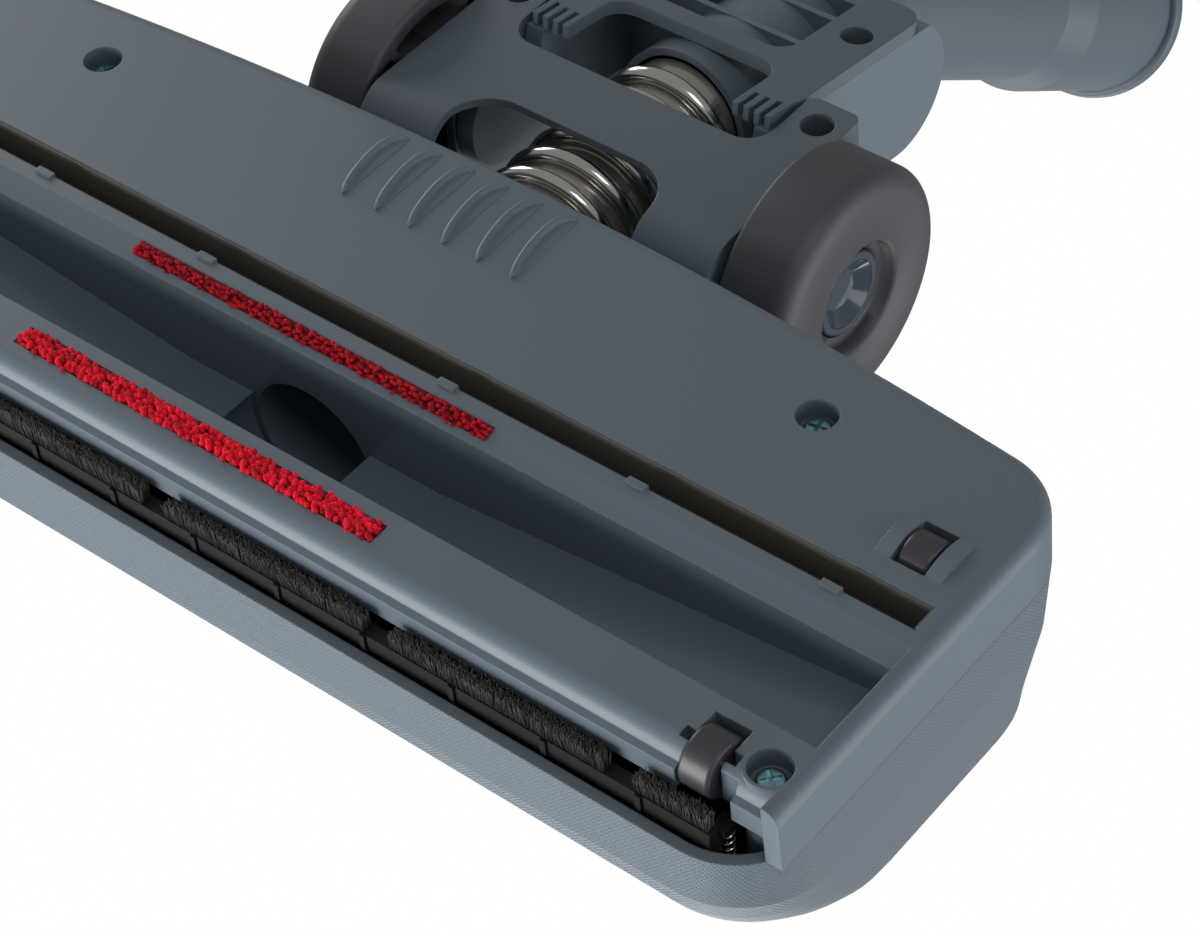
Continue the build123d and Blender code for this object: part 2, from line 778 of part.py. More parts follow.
# Brush carriage: front and rear carriers, end links over the duct, two posts up to the pedal
front_strip = (front_strip_place - front_strip_width / 2, front_strip_place + front_strip_width / 2)
rear_strip = (rear_strip_place - rear_strip_width / 2, rear_strip_place + rear_strip_width / 2)
post_inner = arm_place + arm_width / 2 + gap
lever = pedal_pivot - rear_strip_place
crank_slot = 2 * (crank_pin_radius + crank_play)
lug_base = carrier_top - lug_drop
with BuildPart() as brush_carriage:
    block((-tuft_half_length, tuft_half_length), front_strip, (carrier_base, carrier_top))
    with Locations((0, back(front_strip[0]), high((carrier_base + lug_base) / 2))):
        with GridLocations(rib_pitch, 0, rib_count, 1):
            Box(rib_size[0], rib_size[1], lug_base - carrier_base)
    for side in sides.values():
        lug = (side * (spring_place - spring_radius), side * (spring_place + spring_radius))
        span = (front_strip[1] - gap, spring_depth + spring_radius)
        block(lug, span, (spring_low - lug_height, spring_low))
        post(side * spring_place, spring_depth, (spring_low, spring_low + stud_length), stud_radius)
    rear_half = slot_half_length - 2 * gap
    block((-rear_half, rear_half), rear_strip, (strip_tip + wiper_height, rear_carrier_mid))
    pair((rear_carrier_step, rear_half), rear_strip, (strip_tip + wiper_height, rear_carrier_top))
    link = (link_place - link_width / 2, link_place + link_width / 2)
    pair(link, (front_strip[0], rear_strip[1]), (link_base, link_top))
    pair(link, front_strip, (lug_base, link_top))
    pair(link, rear_strip, (strip_tip + wiper_height, link_top))
    pair((post_inner, post_inner + post_width), rear_strip, (rear_carrier_mid, pedal_pivot_height))
    for side in sides.values():
        start = post_inner if side > 0 else -post_inner - post_width
        with BuildSketch(Plane.YZ.offset(start)):
            with Locations((back(rear_strip_place + gap), high(pedal_pivot_height))):
                RectangleRounded(4.2 * crank_pin_radius + 6 * crank_play, crank_slot + 2 * wall, 2.0)
                SlotOverall(3 * crank_pin_radius + 4 * crank_play, crank_slot, mode=Mode.SUBTRACT)
        extrude(amount=post_width)
        with BuildSketch(Plane.YZ.offset(start)):
            with Locations((back(rear_strip_place + gap), high(pedal_pivot_height))):
                SlotOverall(3 * crank_pin_radius + 4 * crank_play, crank_slot)
        extrude(amount=post_width, mode=Mode.SUBTRACT)
save(brush_carriage, "brush_carriage")

with BuildPart() as front_bristle_strip:
    tuft_span = (front_strip_place - tuft_width / 2, front_strip_place + tuft_width / 2)
    start = tuft_gap / 2
    while start < tuft_half_length - tuft_gap:
        end = min(start + tuft_pitch - tuft_gap, tuft_half_length - gap)
        pair((start, end), tuft_span, (strip_tip, carrier_base))
        start = start + tuft_pitch
save(front_bristle_strip, "front_bristle_strip")

with BuildPart() as rear_wiper_strip:
    for place in (rear_strip[0] + wiper_lip, rear_strip[1] - wiper_lip):
        lip = (place - wiper_lip / 2, place + wiper_lip / 2)
        block((-rear_half, rear_half), lip, (strip_tip, strip_tip + wiper_height))
save(rear_wiper_strip, "rear_wiper_strip")

# Two springs, each between a lug of the carriage and a bracket of the housing
with BuildPart() as carriage_springs:
    coil_rise = spring_high - spring_low - 2 * (spring_wire + slip)
    for side in sides.values():
        foot = (side * spring_place, back(spring_depth), high(spring_low + spring_wire + slip))
        with BuildLine() as coil:
            Helix(coil_rise / spring_turns, coil_rise, spring_radius - spring_wire, center=foot)
        with BuildSketch(Plane(coil.line @ 0, z_dir=coil.line % 0)):
            RegularPolygon(spring_wire, wire_faces)
        sweep(path=coil.line, is_frenet=True)
save(carriage_springs, "carriage_springs")

# Pedal: crowned rocker on two cheeks with crank arms to the posts
with BuildPart() as pedal:
    with BuildSketch(Plane.YZ):
        with BuildLine():
            under = high(pedal_top - pedal_plate)
            Polyline(
                (back(pedal_front), high(pedal_top - pedal_crown)),
                (back(pedal_front), under),
                (back(pedal_rear), under),
                (back(pedal_rear), high(pedal_top - pedal_crown)),
            )
            ThreePointArc(
                (back(pedal_rear), high(pedal_top - pedal_crown)),
                (back((pedal_front + pedal_rear) / 2), high(pedal_top + pedal_crown)),
                (back(pedal_front), high(pedal_top - pedal_crown)),
            )
        make_face()
    extrude(amount=pedal_half_width, both=True)
    fillet(edges().filter_by(Axis.Z), pedal_corner)
    pedal_rim = faces().sort_by(Axis.Z)[-1].edges()
    fillet(pedal_rim, pedal_crown * 0.8)
    arm = (arm_place - arm_width / 2, arm_place + arm_width / 2)
    cheek = arm_height / 2 + wall
    pair(arm, (pedal_pivot - cheek, pedal_pivot + cheek), (pedal_pivot_height, pedal_top - pedal_plate))
    arm_rise = (pedal_pivot_height - arm_height / 2, pedal_pivot_height + arm_height / 2)
    pair(arm, (pedal_pivot - lever, pedal_pivot), arm_rise)
    for side in sides.values():
        x0 = side * arm[0]
        x1 = side * arm[1]
        rod((x0, x1), pedal_pivot, pedal_pivot_height, cheek)
        rod((x0, x1), pedal_pivot - lever, pedal_pivot_height, arm_height / 2)
        x2 = side * (post_inner + post_width)
        rod((x1, x2), pedal_pivot - lever, pedal_pivot_height, crank_pin_radius)
    rod((-half_width, half_width), pedal_pivot, pedal_pivot_height, pedal_pin_radius + slip, Mode.SUBTRACT)
save(pedal, "pedal")

with BuildPart() as pedal_pin:
    rod((-arm[1] - gap, arm[1] + gap), pedal_pivot, pedal_pivot_height, pedal_pin_radius)
save(pedal_pin, "pedal_pin")

# Yoke that carries the wheels: a lower tray and an upper cover, split along a level line
yoke_inner = yoke_half_width - wall
arm_inner_wall = (arm_inner, arm_inner + wall)
with BuildPart() as yoke_lower:
    for inset, floor, mode in ((0, 0, Mode.ADD), (wall, yoke_floor, Mode.SUBTRACT)):
        with BuildSketch(Plane.YZ):
            with BuildLine():
                front = back(yoke_front + inset)
                under = high(yoke_floor_height + floor)
                end = back(arm_end - inset)
                radius = yoke_bend - inset
                split_line = high(yoke_split)
                Polyline((front, split_line), (end, split_line), (end, under), (front + radius, under))
                RadiusArc((front + radius, under), (front, under + radius), radius)
                Line((front, under + radius), (front, split_line))
            make_face()
        extrude(amount=yoke_half_width - inset, both=True, mode=mode)
    pair(arm_inner_wall, (bridge_front - wall, arm_end), (yoke_floor_height, yoke_split))
    with BuildSketch(Plane.XY.offset(high(0))):
        with Locations((0, back((yoke_front + bridge_front) / 2 - window_round))):
            window_depth = bridge_front - yoke_front + 2 * window_round
            RectangleRounded(2 * front_window_half, window_depth, window_round)
        with Locations((0, back((bridge_rear + arm_end) / 2 + notch_round))):
            RectangleRounded(2 * arm_inner, arm_end - bridge_rear + 2 * notch_round, notch_round)
    extrude(amount=yoke_split + gap, mode=Mode.SUBTRACT)
    over_bridge = (yoke_floor_height + yoke_floor, yoke_split)
    block((-arm_inner, arm_inner), (bridge_front, arm_end), over_bridge, Mode.SUBTRACT)
    fillet(edges().filter_by(Axis.Z).group_by(Axis.Y)[-1], wall)
    for side in sides.values():
        x, y = yoke_screw
        post(side * x, y, (yoke_floor_height, yoke_split), yoke_boss_radius)
        post(side * x, y, (0, yoke_well_height), screw_head + 2 * slip, Mode.SUBTRACT)
        post(side * x, y, (0, yoke_split + gap), screw_shank + slip, Mode.SUBTRACT)
        tongue = (side * (tongue_place - tongue_width / 2), side * (tongue_place + tongue_width / 2))
        rod(tongue, yoke_pivot, outlet_height, tongue_radius)
        block(tongue, (yoke_pivot, yoke_front + wall), (outlet_height - tongue_radius, yoke_split))
        rod(tongue, yoke_pivot, outlet_height, yoke_trunnion_radius + slip, Mode.SUBTRACT)
        across = (side * arm_inner_wall[0], side * arm_inner_wall[1])
        rod(across, neck_pivot, neck_pivot_height, neck_trunnion_radius + slip, Mode.SUBTRACT)
        across = (side * yoke_inner, side * yoke_half_width)
        rod(across, wheel_axis, wheel_height, axle_radius + slip, Mode.SUBTRACT)
save(yoke_lower, "yoke_lower")

with BuildPart() as yoke_upper:
    for inset, mode in ((0, Mode.ADD), (wall, Mode.SUBTRACT)):
        with BuildSketch(Plane.YZ):
            with BuildLine():
                front = back(yoke_front + inset)
                end = back(arm_end - inset)
                top = high(yoke_top - inset)
                radius = yoke_bend - inset
                Polyline(
                    (front + radius, top),
                    (back(wheel_axis), top),
                    (end, high(arm_top - inset)),
                    (end, high(yoke_split)),
                    (front, high(yoke_split)),
                    (front, top - radius),
                )
                RadiusArc((front, top - radius), (front + radius, top), radius)
            make_face()
        extrude(amount=yoke_half_width - inset, both=True, mode=mode)
    full_rise = (yoke_split - gap, yoke_top + gap)
    block((-arm_inner, arm_inner), (roof_end, arm_end + gap), full_rise, Mode.SUBTRACT)
    for side in sides.values():
        with BuildSketch(Plane.YZ.offset(side * (arm_inner + wall / 2))):
            with BuildLine():
                Polyline(
                    (back(roof_end - wall), high(yoke_split)),
                    (back(roof_end - wall), high(yoke_top - wall / 2)),
                    (back(wheel_axis), high(yoke_top - wall / 2)),
                    (back(arm_end - wall / 2), high(arm_top - wall / 2)),
                    (back(arm_end - wall / 2), high(yoke_split)),
                    close=True,
                )
            make_face()
        extrude(amount=wall / 2, both=True)
        x, y = yoke_screw
        post(side * x, y, (yoke_split, arm_top), yoke_boss_radius)
        pilot = (yoke_split - gap, yoke_well_height + screw_length + gap)
        post(side * x, y, pilot, screw_shank + slip, Mode.SUBTRACT)
    with BuildSketch(Plane.XZ.offset(-back(yoke_front - gap))):
        with Locations((0, high(outlet_height))):
            Circle(coil_radius + coil_wire + 3 * gap)
    extrude(amount=-yoke_bend - gap, mode=Mode.SUBTRACT)
save(yoke_upper, "yoke_upper")

with BuildPart() as yoke_screws:
    for side in sides.values():
        x, y = yoke_screw
        screw(Plane(origin=(side * x, back(y), high(yoke_well_height))), screw_length)
save(yoke_screws, "yoke_screws")

# Wheels on stub axles with cup-shaped caps
wheel_outer = wheel_inner + wheel_width
hub_face = wheel_outer - hub_recess_depth
for hand, side in sides.items():
    with BuildPart() as axle:
        cap_face = hub_face + slip
        rod((side * (arm_inner_wall[1] + gap), side * cap_face), wheel_axis, wheel_height, axle_radius)
        flange = (side * (yoke_inner - axle_flange[0]), side * yoke_inner)
        rod(flange, wheel_axis, wheel_height, axle_radius + axle_flange[1])
        rod((side * cap_face, side * (cap_face + cap_depth)), wheel_axis, wheel_height, cap_radius)
        cap_edges = edges().filter_by(GeomType.CIRCLE).group_by(SortBy.RADIUS)[-1]
        fillet(cap_edges.sort_by(Axis.X)[-1 if side > 0 else 0], 0.6)
        cup = (side * (hub_face + cap_depth - wall), side * (hub_face + cap_depth + gap))
        rod(cup, wheel_axis, wheel_height, cap_bore, Mode.SUBTRACT)
    save(axle, f"{hand}_axle")
    with BuildPart() as wheel:
        rod((side * wheel_inner, side * wheel_outer), wheel_axis, wheel_height, wheel_radius)
        tread = edges().filter_by(GeomType.CIRCLE).sort_by(Axis.X)
        fillet(tread[-1 if side > 0 else 0], wheel_round)
        tread = edges().filter_by(GeomType.CIRCLE).sort_by(Axis.X)
        fillet(tread[0 if side > 0 else -1], 1.0)
        web_face = wheel_outer - wheel_web
        centre = (side * web_face, back(wheel_axis), high(wheel_height))
        with BuildSketch(Plane(origin=centre, x_dir=(0, 1, 0), z_dir=(side, 0, 0))):
            Circle(wheel_radius - wheel_rim)
            Circle(hub_recess_radius + wall, mode=Mode.SUBTRACT)
            with PolarLocations(wheel_radius / 2, wheel_ribs):
                Rectangle(wheel_radius, rib_width, mode=Mode.SUBTRACT)
        extrude(amount=wheel_inner - web_face, mode=Mode.SUBTRACT)
        across = (side * hub_face, side * (wheel_outer + gap))
        rod(across, wheel_axis, wheel_height, hub_recess_radius, Mode.SUBTRACT)
        rims = edges().filter_by(GeomType.CIRCLE).sort_by(Axis.X)
        rims = rims.filter_by(lambda rim: abs(rim.radius - hub_recess_radius) < slip)
        fillet(rims[-1 if side > 0 else 0], hub_recess_round)
        across = (side * wheel_inner, side * wheel_outer)
        rod(across, wheel_axis, wheel_height, axle_radius + slip, Mode.SUBTRACT)
    save(wheel, f"{hand}_wheel")


def along_neck(s, t):
    # point of the neck's frame: along it from the pivot, and square to it
    y = neck_pivot + s * neck_run[0] - t * neck_run[1]
    h = neck_pivot_height + s * neck_run[1] + t * neck_run[0]
    return Vector(0, back(y), high(h))


def neck_side(x):
    # plane seen from the side: first axis along the neck, second square to it
    origin = along_neck(0, 0) + Vector(x, 0, 0)
    return Plane(origin=origin, x_dir=(0, neck_run[0], neck_run[1]), z_dir=(1, 0, 0))


def neck_deck(t):
    # plane seen from above: first axis across, second along the neck
    return Plane(origin=along_neck(0, t), x_dir=(1, 0, 0), z_dir=(0, -neck_run[1], neck_run[0]))


def neck_cross(s):
    # plane square to the duct, its origin on the duct's axis
    return Plane(origin=along_neck(s, duct_axis), x_dir=(1, 0, 0), z_dir=(0, neck_run[0], neck_run[1]))


# Suction hose from the outlet to the neck, with a wire coil wound on it
with BuildPart() as hose:
    hose_start = outlet_end + gap
    with BuildSketch(Plane.XZ.offset(-back(hose_start))):
        with Locations((0, high(outlet_height))):
            Circle(hose_skin_radius)
            Circle(hose_bore, mode=Mode.SUBTRACT)
    extrude(amount=-(neck_pivot + neck_duct_front + hose_lap - hose_start))
    split(bisect_by=neck_cross(neck_duct_front - 2 * slip), keep=Keep.BOTTOM)
save(hose, "hose")

with BuildPart() as hose_coil:
    with BuildLine() as turns:
        first = (0, back(coil_start), high(outlet_height))
        Helix(coil_pitch, coil_pitch * coil_turns, coil_radius, center=first, direction=(0, 1, 0))
    with BuildSketch(Plane(turns.line @ 0, z_dir=turns.line % 0)):
        RegularPolygon(coil_wire, wire_faces)
    sweep(path=turns.line, is_frenet=True)
save(hose_coil, "hose_coil")

# Neck cover seen from below, an H in plan with a comb of fins at each knuckle and two screw wells
neck_well_radius = screw_head + 2 * slip
neck_boss_base = neck_seat + neck_well_floor
with BuildPart() as neck_lower:
    cover_front = cheek_front + fin_length
    with BuildSketch(neck_deck(neck_floor)):
        with Locations((0, (cover_front + neck_arm_end) / 2)):
            RectangleRounded(2 * neck_half_width, neck_arm_end - cover_front, cover_corner)
        with Locations((0, (cover_front + neck_window_end) / 2 - cover_corner)):
            window = neck_window_end - cover_front + 2 * cover_corner
            RectangleRounded(2 * neck_window_half, window, cover_corner, mode=Mode.SUBTRACT)
        with Locations((0, (neck_bar_end + neck_arm_end) / 2 + cover_corner)):
            window = neck_arm_end - neck_bar_end + 2 * cover_corner
            RectangleRounded(2 * neck_arm_inner, window, cover_corner, mode=Mode.SUBTRACT)
        for side in sides.values():
            for fin in range(knuckle_fins):
                pitch = (knuckle_width - fin_width) / (knuckle_fins - 1)
                x = neck_half_width - fin_inset - fin_width / 2 - fin * pitch
                with Locations((side * x, cover_front + gap)):
                    Rectangle(fin_width, 2 * fin_length)
    extrude(amount=neck_split - neck_floor)
    for side in sides.values():
        x, s = neck_screw
        for start, end, radius, mode in (
            (neck_split, neck_boss_base, neck_well_radius + neck_well_wall, Mode.ADD),
            (neck_floor, neck_seat, neck_well_radius, Mode.SUBTRACT),
            (neck_floor, neck_boss_base, screw_shank + slip, Mode.SUBTRACT),
        ):
            with BuildSketch(neck_deck(start)):
                with Locations((side * x, s)):
                    Circle(radius)
            extrude(amount=end - start, mode=mode)
save(neck_lower, "neck_lower")

# Neck body: two cheeks with trunnions, a deck, webs and a bulkhead around the duct
with BuildPart() as neck_upper:
    inside = neck_half_width - cheek_width
    tail = cheek_end + (cheek_end_radius**2 - (cheek_top - cheek_end_radius - neck_split) ** 2) ** 0.5
    chin = cheek_front * 0.85
    chin_drop = -((neck_hinge_radius**2 - chin**2) ** 0.5)
    for side in sides.values():
        start = inside if side > 0 else -neck_half_width
        with BuildSketch(neck_side(start)):
            with BuildLine():
                Polyline((0, neck_hinge_radius), (deck_front, cheek_top), (cheek_end, cheek_top))
                ThreePointArc(
                    (cheek_end, cheek_top),
                    (cheek_end + cheek_end_radius, cheek_top - cheek_end_radius),
                    (tail, neck_split),
                )
                Polyline((tail, neck_split), (cheek_front, neck_split), (chin, chin_drop))
                ThreePointArc((chin, chin_drop), (-neck_hinge_radius, 0), (0, neck_hinge_radius))
            make_face()
        extrude(amount=cheek_width)
        outer = neck_half_width + wall + gap
        rod((side * inside, side * outer), neck_pivot, neck_pivot_height, neck_trunnion_radius)
        x, s = neck_screw
        with BuildSketch(neck_deck(neck_boss_base)):
            with Locations((side * x, s)):
                Circle(neck_boss_radius)
        extrude(amount=screw_length)
    with BuildSketch(neck_deck(cheek_top)):
        with Locations((0, (deck_front + bulkhead[1]) / 2)):
            Rectangle(2 * inside, bulkhead[1] - deck_front)
    extrude(amount=-wall)
    webs = [(place, web_width) for place in web_place]
    webs.append((bulkhead[0], bulkhead[1] - bulkhead[0]))
    for first, width in webs:
        with BuildSketch(neck_side(-inside)):
            with Locations((first + width / 2, (cheek_top + neck_split) / 2)):
                Rectangle(width, cheek_top - neck_split)
        extrude(amount=2 * inside)
    with BuildSketch(neck_cross(neck_duct_front)):
        Circle(neck_duct_radius)
    extrude(amount=neck_duct_rear - neck_duct_front)
    with BuildSketch(neck_cross(neck_duct_front)):
        Circle(neck_bore)
    extrude(amount=neck_duct_rear - neck_duct_front, mode=Mode.SUBTRACT)
    for side in sides.values():
        x, s = neck_screw
        for start, end, radius in (
            (neck_split, neck_boss_base, neck_well_radius + neck_well_wall + slip),
            (neck_boss_base, neck_seat + screw_length + slip, screw_shank + slip),
        ):
            with BuildSketch(neck_deck(start)):
                with Locations((side * x, s)):
                    Circle(radius)
            extrude(amount=end - start, mode=Mode.SUBTRACT)
save(neck_upper, "neck_upper")

with BuildPart() as neck_screws:
    for side in sides.values():
        x, s = neck_screw
        seat = along_neck(s, neck_seat) + Vector(side * x, 0, 0)
        screw(Plane(origin=seat, x_dir=(1, 0, 0), z_dir=(0, -neck_run[1], neck_run[0])), screw_length)
save(neck_screws, "neck_screws")

# Swivel: a ring on the neck holds the flange of the tube
groove_end = ring_rear - ring_lip
with BuildPart() as swivel_ring:
    with BuildSketch(neck_side(0)):
        with BuildLine():
            Polyline(
                (ring_front, duct_axis + neck_duct_radius + slip),
                (neck_duct_rear, duct_axis + neck_duct_radius + slip),
                (neck_duct_rear, duct_axis + flange_radius + swivel_play),
                (groove_end, duct_axis + flange_radius + swivel_play),
                (groove_end, duct_axis + tube_neck_radius + swivel_play),
                (ring_rear, duct_axis + tube_neck_radius + swivel_play),
                (ring_rear, duct_axis + ring_radius - 1),
                (ring_rear - 1, duct_axis + ring_radius),
                (ring_front, duct_axis + ring_radius),
                close=True,
            )
        make_face()
    revolve(axis=Axis(along_neck(0, duct_axis), Vector(0, neck_run[0], neck_run[1])))
save(swivel_ring, "swivel_ring")

with BuildPart() as swivel_tube:
    flange_front = neck_duct_rear + 0.2
    with BuildSketch(neck_side(0)):
        with BuildLine():
            Polyline(
                (bulkhead[0], duct_axis),
                (bulkhead[0], duct_axis + neck_bore - slip),
                (flange_front, duct_axis + neck_bore - slip),
                (flange_front, duct_axis + flange_radius),
                (flange_front + flange_width, duct_axis + flange_radius),
                (flange_front + flange_width, duct_axis + tube_neck_radius),
                (ring_rear + 2 * gap, duct_axis + tube_neck_radius),
                (ring_rear + 2 * gap, duct_axis + tube_radius),
                (elbow_start, duct_axis + tube_radius),
                (elbow_start, duct_axis),
                close=True,
            )
        make_face()
    revolve(axis=Axis(along_neck(0, duct_axis), Vector(0, neck_run[0], neck_run[1])))
    elbow_axis = Axis(along_neck(elbow_start, duct_axis + elbow_radius), Vector(1, 0, 0))
    with BuildSketch(neck_cross(elbow_start)):
        Circle(tube_radius)
    revolve(axis=elbow_axis, revolution_arc=tube_tilt - neck_tilt)
    mouth = Vector(0, back(elbow_end[0]), high(elbow_end[1]))
    tube_axis = Axis(mouth, Vector(0, tube_run[0], tube_run[1]))
    socket_start = tube_straight - socket_length
    with BuildSketch(Plane(origin=mouth, x_dir=(0, tube_run[0], tube_run[1]), z_dir=(1, 0, 0))):
        with BuildLine():
            Polyline(
                (0, 0),
                (0, tube_radius),
                (socket_start - flare_length, tube_radius),
                (socket_start, socket_wall_radius),
                (tube_straight - rim_width, socket_wall_radius),
                (tube_straight - rim_width, rim_radius),
                (tube_straight, rim_radius),
                (tube_straight, 0),
                close=True,
            )
        make_face()
        fillet(vertices().group_by(Axis.Y)[-1], 1.2)
    revolve(axis=tube_axis)
    with BuildSketch(neck_cross(bulkhead[0])):
        Circle(tube_bore)
    extrude(amount=elbow_start - bulkhead[0], mode=Mode.SUBTRACT)
    with BuildSketch(neck_cross(elbow_start)):
        Circle(tube_bore)
    revolve(axis=elbow_axis, revolution_arc=tube_tilt - neck_tilt, mode=Mode.SUBTRACT)
    with BuildSketch(Plane(origin=mouth, x_dir=(1, 0, 0), z_dir=(0, tube_run[0], tube_run[1]))):
        Circle(tube_bore)
    extrude(amount=socket_start, mode=Mode.SUBTRACT)
    socket = mouth + tube_axis.direction * socket_start
    with BuildSketch(Plane(origin=socket, x_dir=(1, 0, 0), z_dir=(0, tube_run[0], tube_run[1]))):
        Circle(socket_bore)
    extrude(amount=socket_length, mode=Mode.SUBTRACT)
save(swivel_tube, "swivel_tube")
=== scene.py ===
import math

import bpy
import numpy as np
from mathutils import Matrix, Vector


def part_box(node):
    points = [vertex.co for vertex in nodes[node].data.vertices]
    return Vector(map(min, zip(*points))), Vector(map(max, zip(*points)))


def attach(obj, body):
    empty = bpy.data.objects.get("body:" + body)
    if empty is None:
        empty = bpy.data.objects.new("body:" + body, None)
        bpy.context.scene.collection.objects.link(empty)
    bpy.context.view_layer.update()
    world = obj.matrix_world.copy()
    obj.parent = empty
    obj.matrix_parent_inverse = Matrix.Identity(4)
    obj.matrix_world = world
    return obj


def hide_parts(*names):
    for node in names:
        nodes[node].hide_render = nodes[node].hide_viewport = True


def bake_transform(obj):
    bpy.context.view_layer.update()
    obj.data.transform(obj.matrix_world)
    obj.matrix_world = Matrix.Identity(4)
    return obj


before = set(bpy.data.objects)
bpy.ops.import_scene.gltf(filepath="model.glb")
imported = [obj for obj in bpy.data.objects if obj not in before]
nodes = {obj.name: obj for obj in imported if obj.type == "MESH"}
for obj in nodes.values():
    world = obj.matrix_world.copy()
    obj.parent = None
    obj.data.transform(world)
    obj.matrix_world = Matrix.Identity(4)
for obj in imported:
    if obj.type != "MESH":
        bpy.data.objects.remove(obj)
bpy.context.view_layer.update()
mm = 0.001
tiny = 1e-6
print("frame loaded:", len(nodes), "nodes")

# places are given in mm from the channel's rear edge, taken from the frame, and from the sole's face
channel = {"width": 21.2, "ductWall": 1.8, "soleLevel": 1.5}
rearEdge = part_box("suction_duct")[0].y + (channel["width"] + channel["ductWall"]) * mm


def back(y):
    return rearEdge + y * mm


def high(h):
    return channel["soleLevel"] * mm + h * mm


def linear(hexCode):
    # sRGB hex to the linear colour that shaders use
    parts = [int(hexCode[i:i + 2], 16) / 255 for i in (1, 3, 5)]
    return tuple(c / 12.92 if c <= 0.04045 else ((c + 0.055) / 1.055) ** 2.4 for c in parts) + (1,)


def addNode(tree, kind, settings=None, **inputs):
    # one shader node with its settings made and its inputs set or linked; i0 is the input numbered 0
    node = tree.nodes.new(kind)
    for name, value in (settings or {}).items():
        setattr(node, name, value)
    for name, value in inputs.items():
        key = int(name[1:]) if name[0] == "i" and name[1:].isdigit() else name.replace("_", " ")
        if isinstance(value, bpy.types.NodeSocket):
            tree.links.new(value, node.inputs[key])
        else:
            node.inputs[key].default_value = value
    return node


def newMaterial(name, color, roughness, **more):
    material = bpy.data.materials.new(name)
    material.use_nodes = True
    shader = material.node_tree.nodes["Principled BSDF"]
    shader.inputs["Base Color"].default_value = linear(color)
    shader.inputs["Roughness"].default_value = roughness
    for key, value in more.items():
        shader.inputs[key.replace("_", " ")].default_value = value
    return material


# patterns, with their sizes in mm
def giveRelief(material, height, depth, edge):
    # a raised pattern, over edges rounded in the shading because moulded ones are never sharp
    tree = material.node_tree
    soft = addNode(tree, "ShaderNodeBevel", Radius=edge * mm).outputs["Normal"]
    bump = addNode(tree, "ShaderNodeBump", Strength=1.0, Distance=depth * mm, Height=height, Normal=soft)
    tree.links.new(bump.outputs["Normal"], tree.nodes["Principled BSDF"].inputs["Normal"])


def giveGrain(material, size, depth, edge):
    # mould grain, drawn coarser than the real one so that it shows
    tree = material.node_tree
    place = addNode(tree, "ShaderNodeTexCoord").outputs["Object"]
    noise = addNode(tree, "ShaderNodeTexNoise", Vector=place, Scale=1 / (size * mm), Detail=2.0)
    giveRelief(material, noise.outputs["Fac"], depth, edge)


def giveKnurl(material, pitch, depth, edge):
    # crossed diagonal ridges on upright walls, measured along the wall and up it
    endWall, upright = 0.7, 0.75  # how far a face turns to count as an end wall, or no longer as upright
    tree = material.node_tree
    kind = "ShaderNodeMath"
    coords = addNode(tree, "ShaderNodeTexCoord")
    place = addNode(tree, "ShaderNodeSeparateXYZ", Vector=coords.outputs["Object"]).outputs
    facing = addNode(tree, "ShaderNodeSeparateXYZ", Vector=coords.outputs["Normal"]).outputs
    sideways = addNode(tree, kind, {"operation": "ABSOLUTE"}, i0=facing["X"]).outputs[0]
    onEnds = addNode(tree, kind, {"operation": "GREATER_THAN"}, i0=sideways, i1=endWall).outputs[0]
    along = addNode(tree, "ShaderNodeMix", Factor=onEnds, i2=place["X"], i3=place["Y"]).outputs[0]
    ridges = []
    for operation in ("ADD", "SUBTRACT"):
        diagonal = addNode(tree, kind, {"operation": operation}, i0=along, i1=place["Z"]).outputs[0]
        steps = addNode(tree, kind, {"operation": "DIVIDE"}, i0=diagonal, i1=pitch * mm).outputs[0]
        ridges.append(addNode(tree, kind, {"operation": "PINGPONG"}, i0=steps, i1=0.5).outputs[0])
    crossed = addNode(tree, kind, {"operation": "MAXIMUM"}, i0=ridges[0], i1=ridges[1]).outputs[0]
    level = addNode(tree, kind, {"operation": "ABSOLUTE"}, i0=facing["Z"]).outputs[0]
    onWalls = addNode(tree, kind, {"operation": "LESS_THAN"}, i0=level, i1=upright).outputs[0]
    height = addNode(tree, kind, {"operation": "MULTIPLY"}, i0=crossed, i1=onWalls).outputs[0]
    giveRelief(material, height, depth, edge)


def giveFibreShades(material, dark, light):
    # each fibre has its own lightness times a painted shade that darkens it towards its root, kept in an
    # attribute
    tree = material.node_tree
    shade = addNode(tree, "ShaderNodeAttribute", {"attribute_name": "shade"}).outputs["Fac"]
    mixed = addNode(tree, "ShaderNodeMixRGB", Fac=shade, i1=linear(dark), i2=linear(light))
    tree.links.new(mixed.outputs[0], tree.nodes["Principled BSDF"].inputs["Base Color"])


# satin moulded ABS: soft sheen over a fine grain
slate = newMaterial("slateAbs", "#5d6973", 0.46)
giveGrain(slate, 0.4, 0.014, 0.35)
# the same ABS in the joint's shells and tube, painted a shade darker: painted shade for the shade that falls
# on them
shadedSlate = newMaterial("shadedSlateAbs", "#525d66", 0.46)
giveGrain(shadedSlate, 0.4, 0.014, 0.35)
# the same ABS, its walls knurled against finger marks: a dull, finely lined sheen
knurled = newMaterial("knurledAbs", "#5d6973", 0.48)
giveKnurl(knurled, 0.85, 0.2, 0.5)
# ABS from a polished mould: glossy with clear reflections
ductPlastic = newMaterial("smoothDuctAbs", "#5a6672", 0.18)
# moulded polypropylene of the carrier: plain and dark
blackPlastic = newMaterial("blackPolypropylene", "#0b0b0c", 0.45)
# polypropylene lining of the slot, painted a lighter grey than its own dark colour: painted light in the
# slot's shade
paintedLightLiner = newMaterial("paintedLightLinerPolypropylene", "#605e58", 0.4)
# nylon loops of a woven strip: light and dark by turns, with painted shade towards their roots
redPile = newMaterial("redLintPile", "#a3101f", 0.55, Specular_IOR_Level=0.18)
giveFibreShades(redPile, "#66030f", "#ff0f32")
